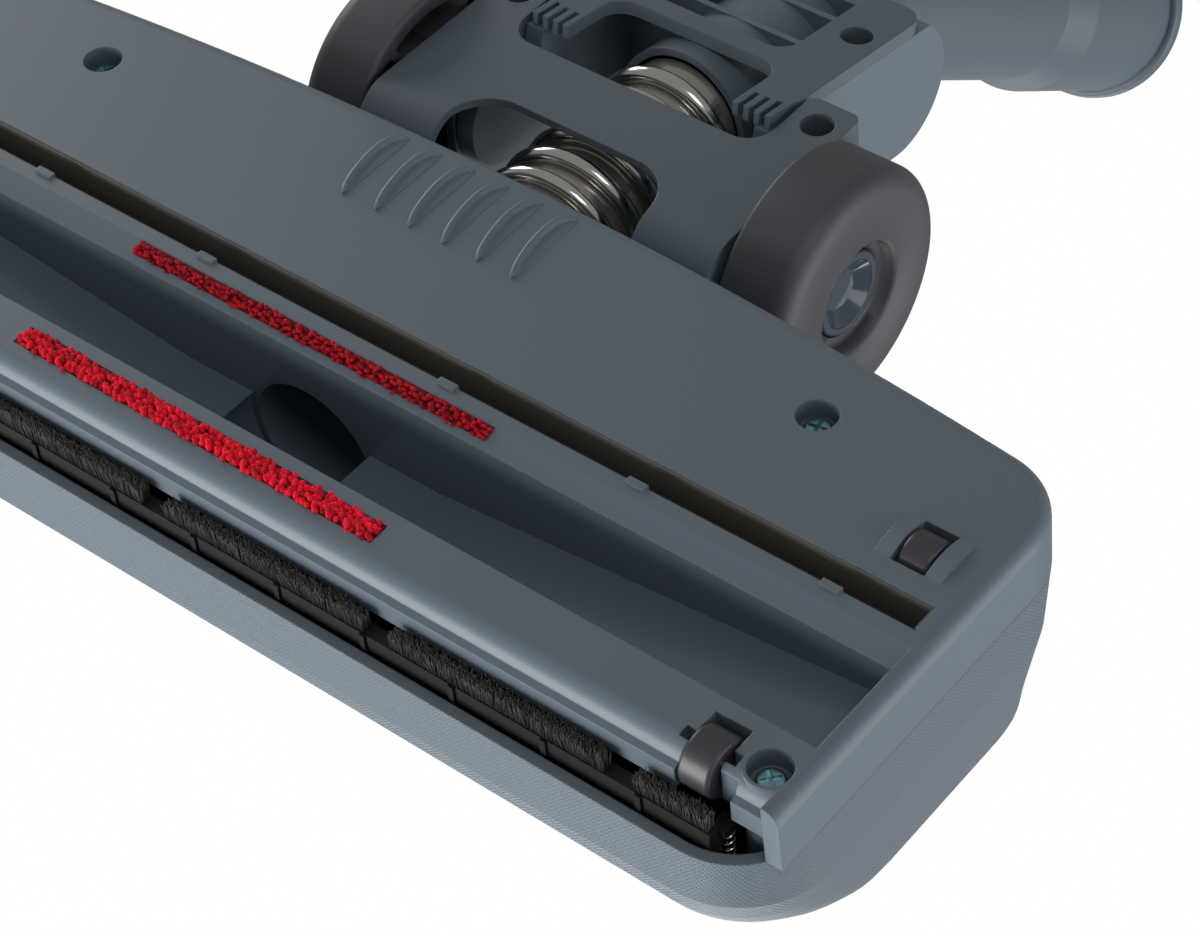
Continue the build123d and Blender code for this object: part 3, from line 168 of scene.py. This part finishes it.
# dense crimped nylon filaments: dull, with painted shade towards their roots
bristleFelt = newMaterial("darkNylonBristle", "#3b3b3b", 0.8)
giveFibreShades(bristleFelt, "#0a0a0a", "#6a6a67")
# soft moulded rubber lips
wiperRubber = newMaterial("wiperRubber", "#3a3832", 0.45)
# blue passivated zinc on the screws
zinc = newMaterial("zincPlatedSteel", "#8fb6bd", 0.28, Metallic=1.0)
# drawn steel of the pins, smooth
steel = newMaterial("drawnSteel", "#b9bcbf", 0.25, Metallic=1.0)
# polished spring wire: bright
springSteel = newMaterial("brightSpringWire", "#cbc9c4", 0.16, Metallic=1.0)
# moulded acetal rollers: waxy
rollerPlastic = newMaterial("rollerAcetal", "#35363a", 0.4)
giveGrain(rollerPlastic, 0.5, 0.01, 0.3)
# matt soft tread of the wheels
wheelRubber = newMaterial("softWheelElastomer", "#3b3d41", 0.52)
giveGrain(wheelRubber, 0.5, 0.014, 0.4)
# glossy acetal cups on the axles
axlePlastic = newMaterial("axleAcetal", "#37414b", 0.1)
# thin vinyl skin over the wire, which shines through
hoseFilm = newMaterial("hoseVinyl", "#a9a6a0", 0.16, Metallic=0.8)

finish = {
    slate: ("sole_plate", "pedal", "neck_upper", "swivel_ring"),
    shadedSlate: ("yoke_lower", "yoke_upper", "neck_lower", "swivel_tube"),
    knurled: ("top_housing",),
    ductPlastic: ("suction_duct",),
    blackPlastic: ("brush_carriage",),
    paintedLightLiner: ("slot_liner",),
    redPile: ("front_thread_lifter", "rear_thread_lifter"),
    bristleFelt: ("front_bristle_strip",),
    wiperRubber: ("rear_wiper_strip",),
    zinc: ("sole_screws", "yoke_screws", "neck_screws"),
    steel: ("front_roller_pins", "rear_roller_pins", "pedal_pin"),
    springSteel: ("carriage_springs", "hose_coil"),
    rollerPlastic: ("front_left_roller", "front_right_roller", "rear_left_roller", "rear_right_roller"),
    wheelRubber: ("left_wheel", "right_wheel"),
    axlePlastic: ("left_axle", "right_axle"),
    hoseFilm: ("hose",),
}
smoothing = {"solid": 32, "turned": 40, "hose": 50, "wire": 60}  # degrees under which an edge is smooth


def pick(*pieces):
    bpy.ops.object.select_all(action="DESELECT")
    for piece in pieces:
        piece.select_set(True)
    bpy.context.view_layer.objects.active = pieces[0]


def smooth(kind):
    bpy.ops.object.shade_smooth_by_angle(angle=math.radians(smoothing[kind]))


for material, names in finish.items():
    for name in names:
        nodes[name].data.materials.clear()
        nodes[name].data.materials.append(material)
        pick(nodes[name])
        smooth("solid")
print("finishes set")


def applyPlace():
    bpy.ops.object.transform_apply(location=True, rotation=True, scale=True)
    return bpy.context.active_object


def applyModifiers(piece):
    for name in [modifier.name for modifier in piece.modifiers]:
        bpy.ops.object.modifier_apply(modifier=name)


def addPiece(name, mesh):
    piece = bpy.data.objects.new(name, mesh)
    bpy.context.scene.collection.objects.link(piece)
    return piece


def copyNode(name, node):
    # a copy of a CAD node's mesh, standing where the node stands
    piece = addPiece(name, node.data.copy())
    piece.data.transform(node.matrix_world)
    return piece


def joinCopies(name, single, places, material):
    # one shape copied to every place, as one piece
    copies = []
    for place in places:
        copies.append(addPiece(name, single.data.copy()))
        copies[-1].data.transform(place)
    bpy.data.objects.remove(single)
    pick(*copies)
    bpy.ops.object.join()
    copies[0].name = name
    copies[0].data.materials.append(material)
    smooth("turned")
    return copies[0]


def cutWith(piece, cutter):
    pick(piece)
    cut = piece.modifiers.new("cut", "BOOLEAN")
    cut.operation = "DIFFERENCE"
    cut.object = cutter
    applyModifiers(piece)
    bpy.data.objects.remove(cutter)


def turnNormalsOut():
    bpy.ops.object.mode_set(mode="EDIT")
    bpy.ops.mesh.select_all(action="SELECT")
    bpy.ops.mesh.normals_make_consistent(inside=False)
    bpy.ops.object.mode_set(mode="OBJECT")


def windWire(name, wire, pitch, turns, axis, tilt, place):
    # a round wire wound into a helix
    bpy.ops.object.select_all(action="DESELECT")
    bpy.ops.mesh.primitive_circle_add(
        vertices=wire["sides"], radius=wire["wire"] * mm, location=(wire["radius"] * mm, 0, 0),
        rotation=(tilt, 0, 0))
    coil = applyPlace()
    coil.name = name
    wind = coil.modifiers.new("wind", "SCREW")
    wind.axis = axis
    wind.screw_offset = pitch * mm
    wind.iterations = turns
    wind.steps = wire["steps"]
    wind.render_steps = wire["steps"]
    wind.use_normal_calculate = True
    applyModifiers(coil)
    coil.location = place
    return applyPlace()


def sowFibres(name, fibre, roots, leans, material):
    # one tapered fibre or round loop, copied to every root with its own lean, length and lightness, and with
    # painted shade that deepens towards the root
    bpy.ops.object.select_all(action="DESELECT")
    if fibre["form"] == "loop":
        bpy.ops.mesh.primitive_uv_sphere_add(segments=8, ring_count=5, radius=0.5)
    else:
        bpy.ops.mesh.primitive_cone_add(
            vertices=4, radius1=0.5, radius2=0.5 * fibre["taper"], depth=1, end_fill_type="NGON")
    single = bpy.context.active_object
    breadth = 2 * fibre["radius"] * mm
    points = np.array([vertex.co for vertex in single.data.vertices]) * (breadth, breadth, 1)
    faces = [tuple(polygon.vertices) for polygon in single.data.polygons]
    bpy.data.objects.remove(single)
    count, size = len(roots), len(points)
    dice = np.random.default_rng(fibre["seed"])
    length = fibre["length"] * mm * (1 + fibre["uneven"] * dice.uniform(-1, 1, count))
    rise = (points[:, 2] + 0.5)[None, :, None]  # 0 at the root, 1 at the tip
    spread = np.zeros((count, size, 3))
    spread[:, :, :2] = points[None, :, :2]
    place = roots[:, None, :] + spread + rise * (leans * length[:, None])[:, None, :]
    mesh = bpy.data.meshes.new(name)
    allFaces = [tuple(i + size * k for i in face) for k in range(count) for face in faces]
    mesh.from_pydata(place.reshape(-1, 3).tolist(), [], allFaces)
    shade = mesh.attributes.new("shade", "FLOAT", "POINT")
    own = dice.uniform(0, 1, count) ** fibre["dim"]
    # painted shade: each fibre darkens from its tip down to the share deep at its root
    light = own[:, None] * (fibre["deep"] + (1 - fibre["deep"]) * rise[0, :, 0])
    # bright scales a whole strip's lightness: painted shade for the rear strip on its slope
    shade.data.foreach_set("value", (light * fibre["bright"]).reshape(-1).astype(np.float32))
    mesh.polygons.foreach_set("use_smooth", [fibre["form"] == "loop"] * len(mesh.polygons))
    mesh.materials.append(material)
    return addPiece(name, mesh)


def scatter(xSpan, ySpan, step, dice):
    # a jittered grid of places in mm
    jitter = 0.45 * step
    xs = np.arange(xSpan[0] + step / 2, xSpan[1], step)
    ys = np.arange(ySpan[0] + step / 2, ySpan[1], step)
    grid = np.stack(np.meshgrid(xs, ys), -1).reshape(-1, 2)
    return grid + dice.uniform(-1, 1, grid.shape) * jitter


def leaning(count, aim, loose, dice):
    lean = np.array(aim)[None, :] + dice.normal(0, loose, (count, 3))
    return lean / np.linalg.norm(lean, axis=1)[:, None]


# red lint strips: knobbly loops on a woven backing, on the front bar's flat and on the rear bar's slope
lint = {
    "halfLength": 42.9, "step": 0.8, "loose": 0.35, "backing": 0.3, "seed": 11,
    # the loops are painted darker towards their roots (deep 0.5) as painted shade
    "front": {"node": "front_thread_lifter", "y": (-28.7, -24.3), "rise": (0.3, 0.3),
              "aim": (0.5, 0.25, -0.85),
              "loop": {"form": "loop", "radius": 0.6, "length": 1.2, "uneven": 0.25, "seed": 3,
                       "dim": 0.4, "deep": 0.5, "bright": 1.0}},
    # the rear strip's loops are painted at half lightness (bright 0.5): painted shade on its slope
    "rear": {"node": "rear_thread_lifter", "y": (1.6, 4.3), "rise": (1.17, 0.12),
             "aim": (0.5, -0.2, -0.85),
             "loop": {"form": "loop", "radius": 0.52, "length": 0.95, "uneven": 0.25, "seed": 4,
                      "dim": 0.7, "deep": 0.5, "bright": 0.5}},
}
for part in ("front", "rear"):
    strip = lint[part]
    dice = np.random.default_rng(lint["seed"])
    spots = scatter((-lint["halfLength"], lint["halfLength"]), strip["y"], lint["step"], dice)
    breadth = strip["y"][1] - strip["y"][0]
    climb = strip["rise"][1] - strip["rise"][0]
    rise = strip["rise"][0] + (spots[:, 1] - strip["y"][0]) / breadth * climb
    roots = np.stack([spots[:, 0] * mm, back(0) + spots[:, 1] * mm, high(0) + rise * mm], -1)
    leans = leaning(len(roots), strip["aim"], lint["loose"], dice)
    pile = sowFibres(part + "LintPile", strip["loop"], roots, leans, redPile)
    slope = math.atan2(climb, breadth)
    # the backing has no lightness of its own, so it takes the darkest red: painted shade between the loops
    bpy.ops.object.select_all(action="DESELECT")
    bpy.ops.mesh.primitive_cube_add(
        size=1, location=(0, back(sum(strip["y"]) / 2), high(sum(strip["rise"]) / 2)), rotation=(slope, 0, 0),
        scale=(2 * lint["halfLength"] * mm, breadth / math.cos(slope) * mm, lint["backing"] * mm))
    backing = applyPlace()
    backing.data.materials.append(redPile)
    pick(pile, backing)
    bpy.ops.object.join()
    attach(pile, "head")
    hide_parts(strip["node"])
print("lint pile sown")

# front bristles: dense filaments in six blocks under the carriage, painted black at the root as painted shade
bristle = {
    "blocks": ((3, 49), (55, 101), (107, 122)), "y": (-39.0, -36.6), "step": 0.23, "root": 9.7,
    "aim": (0, 0, -1.0), "loose": 0.09, "seed": 23,
    "fibre": {"form": "fibre", "radius": 0.12, "taper": 0.55, "length": 3.6, "uneven": 0.09, "seed": 5,
              "dim": 0.7, "deep": 0.0, "bright": 1.0},
}
dice = np.random.default_rng(bristle["seed"])
spots = np.concatenate([
    scatter(sorted((side * near, side * far)), bristle["y"], bristle["step"], dice)
    for side in (1, -1) for near, far in bristle["blocks"]])
level = np.full(len(spots), high(bristle["root"]))
roots = np.stack([spots[:, 0] * mm, back(0) + spots[:, 1] * mm, level], -1)
leans = leaning(len(roots), bristle["aim"], bristle["loose"], dice)
filaments = sowFibres("frontBristles", bristle["fibre"], roots, leans, bristleFelt)
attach(filaments, "carriage")
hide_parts("front_bristle_strip")
print("bristles sown")

# grip ridges: a round, bowed rim with a low slope behind it
ridge = {"count": 6, "pitch": 8.25, "start": 35.5, "length": 18.5, "tip": 0.4, "rim": 1.6, "bow": 2.8,
         "lag": 0.45, "rise": 1.2, "slope": 0.4, "root": 0.3, "blunt": 6, "sides": (72, 32),
         "clear": (30.0, 2.0), "weld": 0.02}
# the solids bow them to the other side, so a copy of the sole plate is made flat there
soleCopy = copyNode("solePlate", nodes["sole_plate"])
frontEnd = back(ridge["start"] - ridge["clear"][1])
rearEnd = back(ridge["start"] + ridge["length"] + ridge["clear"][1])
soleCopy.data.polygons.foreach_set("select", [False] * len(soleCopy.data.polygons))
soleCopy.data.edges.foreach_set("select", [False] * len(soleCopy.data.edges))
for vertex in soleCopy.data.vertices:
    inside = abs(vertex.co.x) < ridge["clear"][0] * mm and frontEnd < vertex.co.y < rearEnd
    vertex.select = inside and vertex.co.z < high(ridge["weld"])
    if vertex.select:
        vertex.co.z = high(0)
pick(soleCopy)
bpy.ops.object.mode_set(mode="EDIT")
bpy.ops.mesh.remove_doubles(threshold=ridge["weld"] * mm)
bpy.ops.object.mode_set(mode="OBJECT")
smooth("solid")
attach(soleCopy, "head")
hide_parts("sole_plate")

bpy.ops.object.select_all(action="DESELECT")
bpy.ops.mesh.primitive_uv_sphere_add(
    segments=ridge["sides"][0], ring_count=ridge["sides"][1], radius=1, rotation=(math.pi / 2, 0, 0))
leaf = applyPlace()
peak = (1 / (1 + ridge["lag"])) * (ridge["lag"] / (1 + ridge["lag"])) ** ridge["lag"]
for vertex in leaf.data.vertices:
    across, along, level = vertex.co
    around = math.hypot(across, level)
    share = (1 + across / around) / 2 if around > tiny else 0.5  # 0 at the straight edge, 1 at the bowed one
    run = min(1, max(0, (1 + along) / 2))  # 0 at the front end, 1 at the rear end
    ends = math.sqrt(max(0, 1 - along ** ridge["blunt"]))
    bow = ridge["bow"] * run * (1 - run) ** ridge["lag"] / peak
    width = bow + ridge["rim"] * ends
    side = share * width - ridge["rim"] / 2 * ends
    fromCrest = (1 - share) * width / (ridge["rim"] / 2) - 1  # 0 on the rim's crest, 1 and -1 at its feet
    crest = ridge["rise"] * math.sqrt(max(0, 1 - fromCrest ** 2))
    slope = ridge["slope"] * math.sqrt(max(0, share * (1 - share)))
    depth = -max(crest, slope) * ends if level < 0 else ridge["root"] * level
    vertex.co = (side * mm, along * (ridge["length"] / 2 + ridge["tip"]) * mm, depth * mm)
ridgeMiddle = back(ridge["start"] + ridge["length"] / 2)
ridgePlaces = [(index - (ridge["count"] - 1) / 2) * ridge["pitch"] for index in range(ridge["count"])]
ridges = joinCopies(
    "gripRidges", leaf, [Matrix.Translation((x * mm, ridgeMiddle, high(0))) for x in ridgePlaces], slate)
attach(ridges, "head")
print("grip ridges set")

# sole screws: small pan heads with a cross recess at the foot of their wells
screw = {"places": ((87.0, 38.5), (127.0, -28.5)), "seat": 4.5, "radius": 2.6, "rise": 1.6, "edge": 0.55,
         "edgeSteps": 3, "cross": (3.6, 0.8), "deep": 0.9, "turns": (0.35, 1.1, -0.2, 0.7), "sides": 40}
bpy.ops.object.select_all(action="DESELECT")
bpy.ops.mesh.primitive_cylinder_add(
    vertices=screw["sides"], radius=screw["radius"] * mm, depth=screw["rise"] * mm)
screwHead = applyPlace()
dome = screwHead.modifiers.new("dome", "BEVEL")
dome.width = screw["edge"] * mm
dome.segments = screw["edgeSteps"]
applyModifiers(screwHead)
for turned in (0, math.pi / 2):
    bpy.ops.object.select_all(action="DESELECT")
    bpy.ops.mesh.primitive_cube_add(
        size=1, location=(0, 0, -screw["rise"] / 2 * mm), rotation=(0, 0, turned),
        scale=(screw["cross"][0] * mm, screw["cross"][1] * mm, 2 * screw["deep"] * mm))
    cutWith(screwHead, applyPlace())
screwPlaces = [(side * x, y) for side in (1, -1) for x, y in screw["places"]]
screwLevel = high(screw["seat"] - screw["rise"] / 2)
heads = joinCopies(
    "soleScrewHeads", screwHead,
    [Matrix.Translation((x * mm, back(y), screwLevel)) @ Matrix.Rotation(turned, 4, "Z")
     for (x, y), turned in zip(screwPlaces, screw["turns"])], zinc)
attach(heads, "head")
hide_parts("sole_screws")
print("screw heads set")

# wheels with the stepped hub of the photograph, and the glossy cone of each axle cap
hub = {"face": 60.5, "axis": 87.5, "height": 24.5, "mouth": 12.5, "recess": 11.6, "lip": 0.9, "deep": 3.2,
       "cone": (7.1, 4.0), "coneDepth": 2.6, "coneFace": 57.9, "coneWall": 0.05, "sides": 72}
for hand, side in (("left", 1), ("right", -1)):
    wheel = copyNode(hand + "Wheel", nodes[hand + "_wheel"])
    outward = (0, side * math.pi / 2, 0)  # turns up to outward
    steps = ((hub["recess"], hub["recess"], hub["deep"]), (hub["mouth"], hub["recess"], hub["lip"]))
    for top, bottom, depth in steps:
        bpy.ops.object.select_all(action="DESELECT")
        bpy.ops.mesh.primitive_cone_add(
            vertices=hub["sides"], radius1=bottom * mm, radius2=(2 * top - bottom) * mm, depth=2 * depth * mm,
            location=(side * hub["face"] * mm, back(hub["axis"]), high(hub["height"])), rotation=outward)
        cutWith(wheel, applyPlace())
    smooth("turned")
    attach(wheel, hand + "_wheel")
    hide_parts(hand + "_wheel")
    coneMiddle = side * (hub["coneFace"] - hub["coneDepth"] / 2) * mm
    bpy.ops.object.select_all(action="DESELECT")
    bpy.ops.mesh.primitive_cone_add(
        vertices=hub["sides"], radius1=hub["cone"][1] * mm, radius2=hub["cone"][0] * mm,
        depth=hub["coneDepth"] * mm, end_fill_type="NOTHING", rotation=outward,
        location=(coneMiddle, back(hub["axis"]), high(hub["height"])))
    cone = applyPlace()
    cone.name = hand + "CapCone"
    thick = cone.modifiers.new("wall", "SOLIDIFY")
    thick.thickness = hub["coneWall"] * mm
    applyModifiers(cone)
    cone.data.materials.append(axlePlastic)
    smooth("turned")
    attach(cone, "yoke")
print("hubs set")

# suction hose and its wire in two lengths, one for each hinge
hose = {"radius": 14.0, "skin": 0.5, "axis": 25.5, "split": 73.9, "ends": (57.9, 110.0), "tilt": 9.0,
        "ring": 1.2, "sides": 72}
hoseWire = {"radius": 15.1, "wire": 1.7, "pitch": 6.85, "start": 60.2, "turns": (2, 5), "steps": 40,
            "sides": 16}
spans = {"front": (hose["ends"][0], hose["split"]), "rear": (hose["split"], hose["ends"][1])}
axis = high(hose["axis"])


def squareToNeck(piece, start, end):
    # the rear end meets the tilted neck square
    for vertex in piece.data.vertices:
        share = (vertex.co.y - back(start)) / ((end - start) * mm)
        vertex.co.y -= (vertex.co.z - axis) * math.tan(math.radians(hose["tilt"])) * share


for part, (start, end) in spans.items():
    bpy.ops.object.select_all(action="DESELECT")
    bpy.ops.mesh.primitive_circle_add(
        vertices=hose["sides"], radius=hose["radius"] * mm, location=(0, back(start), axis),
        rotation=(math.pi / 2, 0, 0))
    skin = applyPlace()
    skin.name = part + "HoseSkin"
    rings = max(2, round((end - start) / hose["ring"]))
    bpy.ops.object.mode_set(mode="EDIT")
    bpy.ops.mesh.select_all(action="SELECT")
    for ring in range(rings):
        bpy.ops.mesh.extrude_region_move(TRANSFORM_OT_translate={"value": (0, (end - start) / rings * mm, 0)})
    bpy.ops.object.mode_set(mode="OBJECT")
    turnNormalsOut()
    thick = skin.modifiers.new("skin", "SOLIDIFY")
    thick.thickness = hose["skin"] * mm
    thick.offset = -1
    applyModifiers(skin)
    if part == "rear":
        squareToNeck(skin, start, end)
    skin.data.materials.append(hoseFilm)
    smooth("hose")
    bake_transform(skin)
    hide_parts("hose")

turned = 0
for part, turns in zip(("front", "rear"), hoseWire["turns"]):
    coilStart = back(hoseWire["start"] + turned * hoseWire["pitch"])
    coil = windWire(part + "HoseCoil", hoseWire, hoseWire["pitch"], turns, "Y", 0, (0, coilStart, axis))
    turned += turns
    if part == "rear":
        squareToNeck(coil, *spans[part])
    turnNormalsOut()
    coil.data.materials.append(springSteel)
    smooth("wire")
    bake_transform(coil)
    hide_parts("hose_coil")
print("hose and coil wound")

# springs of the carriage, each with a closed end turn on the lug that it lifts
spring = {"x": 122.35, "y": -34.7, "low": 12.35, "high": 25.65, "radius": 1.2, "wire": 0.3, "turns": 8,
          "steps": 20, "sides": 10, "loop": 1.2, "loopWire": 0.3, "loopHeight": 12.1, "loopSides": (40, 12)}
springPitch = (spring["high"] - spring["low"]) / spring["turns"]
for hand, side in (("left", 1), ("right", -1)):
    top, bottom, loopPlace = [
        (side * spring["x"] * mm, back(spring["y"]), high(spring[end]))
        for end in ("high", "low", "loopHeight")]
    helix = windWire(hand + "CarriageSpring", spring, springPitch, spring["turns"], "Z", math.pi / 2, bottom)
    helix.data.materials.append(springSteel)
    smooth("wire")
    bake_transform(helix)
    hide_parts("carriage_springs")
    bpy.ops.object.select_all(action="DESELECT")
    bpy.ops.mesh.primitive_torus_add(
        major_radius=spring["loop"] * mm, minor_radius=spring["loopWire"] * mm,
        major_segments=spring["loopSides"][0], minor_segments=spring["loopSides"][1], location=loopPlace)
    loop = applyPlace()
    loop.name = hand + "SpringLoop"
    loop.data.materials.append(springSteel)
    smooth("wire")
    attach(loop, "carriage")
print("springs wound")

# camera of the photograph: it looks up at the sole from in front
camera = {
    "place": (-338.08, -286.87, -409.81),  # mm from the channel's rear edge, at the sole
    "right": (-0.7773, 0.6251, 0.0713),
    "up": (0.4098, 0.5891, -0.6965),
    "forward": (0.4773, 0.5122, 0.7140),
    "lens": 100.94,
    "sensor": 36.0,
    "clip": 20,  # metres
}
camData = bpy.data.cameras.new("photoCamera")
camData.lens = camera["lens"]
camData.sensor_width = camera["sensor"]
camData.clip_end = camera["clip"]
camObject = addPiece("photoCamera", camData)
axes = [Vector(camera["right"]), Vector(camera["up"]), -Vector(camera["forward"])]
cameraTurn = Matrix([[direction[i] for direction in axes] for i in range(3)]).to_4x4()
x, y, h = camera["place"]
camObject.matrix_world = Matrix.Translation((x * mm, back(y), high(h))) @ cameraTurn
bpy.context.scene.camera = camObject

# pale floor, seen from above and open from below
floor = {"size": 6.0, "color": "#e9e9e7", "roughness": 0.7, "glow": 0.8}  # it glows to stay pale far off
bpy.ops.object.select_all(action="DESELECT")
bpy.ops.mesh.primitive_plane_add(size=floor["size"], location=(0, 0, 0))
floorObject = bpy.context.active_object
floorObject.name = "paleFloor"
floorMaterial = newMaterial(
    "paleFloor", floor["color"], floor["roughness"], Emission_Color=linear(floor["color"]),
    Emission_Strength=floor["glow"])
tree = floorMaterial.node_tree
below = addNode(tree, "ShaderNodeNewGeometry").outputs["Backfacing"]
clear = addNode(tree, "ShaderNodeBsdfTransparent").outputs[0]
mix = addNode(tree, "ShaderNodeMixShader", Fac=below, i1=tree.nodes["Principled BSDF"].outputs[0], i2=clear)
tree.links.new(mix.outputs[0], tree.nodes["Material Output"].inputs["Surface"])
floorObject.data.materials.append(floorMaterial)
floorObject.visible_shadow = False
floorObject.visible_diffuse = False
floorObject.visible_glossy = False

# white studio: bright to the camera, dimmer as light
studio = {"color": "#ffffff", "asLight": 0.3, "toCamera": 1.0}
world = bpy.data.worlds.new("studio")
bpy.context.scene.world = world
world.use_nodes = True
tree = world.node_tree
ray = addNode(tree, "ShaderNodeLightPath").outputs["Is Camera Ray"]
strength = addNode(tree, "ShaderNodeMapRange", Value=ray, To_Min=studio["asLight"], To_Max=studio["toCamera"])
tree.links.new(strength.outputs[0], tree.nodes["Background"].inputs["Strength"])
tree.nodes["Background"].inputs["Color"].default_value = linear(studio["color"])

# soft boxes, placed by the camera's own right, up and back directions so that they keep to the photograph
lights = {
    "aim": (0, 0, 0.03),
    "keyLeft": {"toward": (-0.87, -0.41, 0.27), "reach": 1.3, "size": 0.8, "power": 18},
    "fillRight": {"toward": (0.85, -0.45, 0.28), "reach": 1.4, "size": 1.5, "power": 18},
    "overhead": {"toward": (-0.55, 0.75, -0.35), "reach": 1.4, "size": 0.7, "power": 7},
    "nearCamera": {"toward": (0.12, 0.28, 0.95), "reach": 1.6, "size": 0.5, "power": 3.5},
    "topSide": {"toward": (-0.10, -0.85, -0.50), "reach": 1.6, "size": 1.3, "power": 16},
}
for name in ("keyLeft", "fillRight", "overhead", "nearCamera", "topSide"):
    light = lights[name]
    lampData = bpy.data.lights.new(name, "AREA")
    lampData.energy = light["power"]
    lampData.size = light["size"]
    lamp = addPiece(name, lampData)
    direction = sum((way * share for way, share in zip(axes, light["toward"])), Vector((0, 0, 0)))
    lamp.location = Vector(lights["aim"]) + direction.normalized() * light["reach"]
    lamp.rotation_euler = (-direction).to_track_quat("-Z", "Y").to_euler()
bpy.context.scene.view_settings.view_transform = "Standard"
print("camera, floor and lights set")
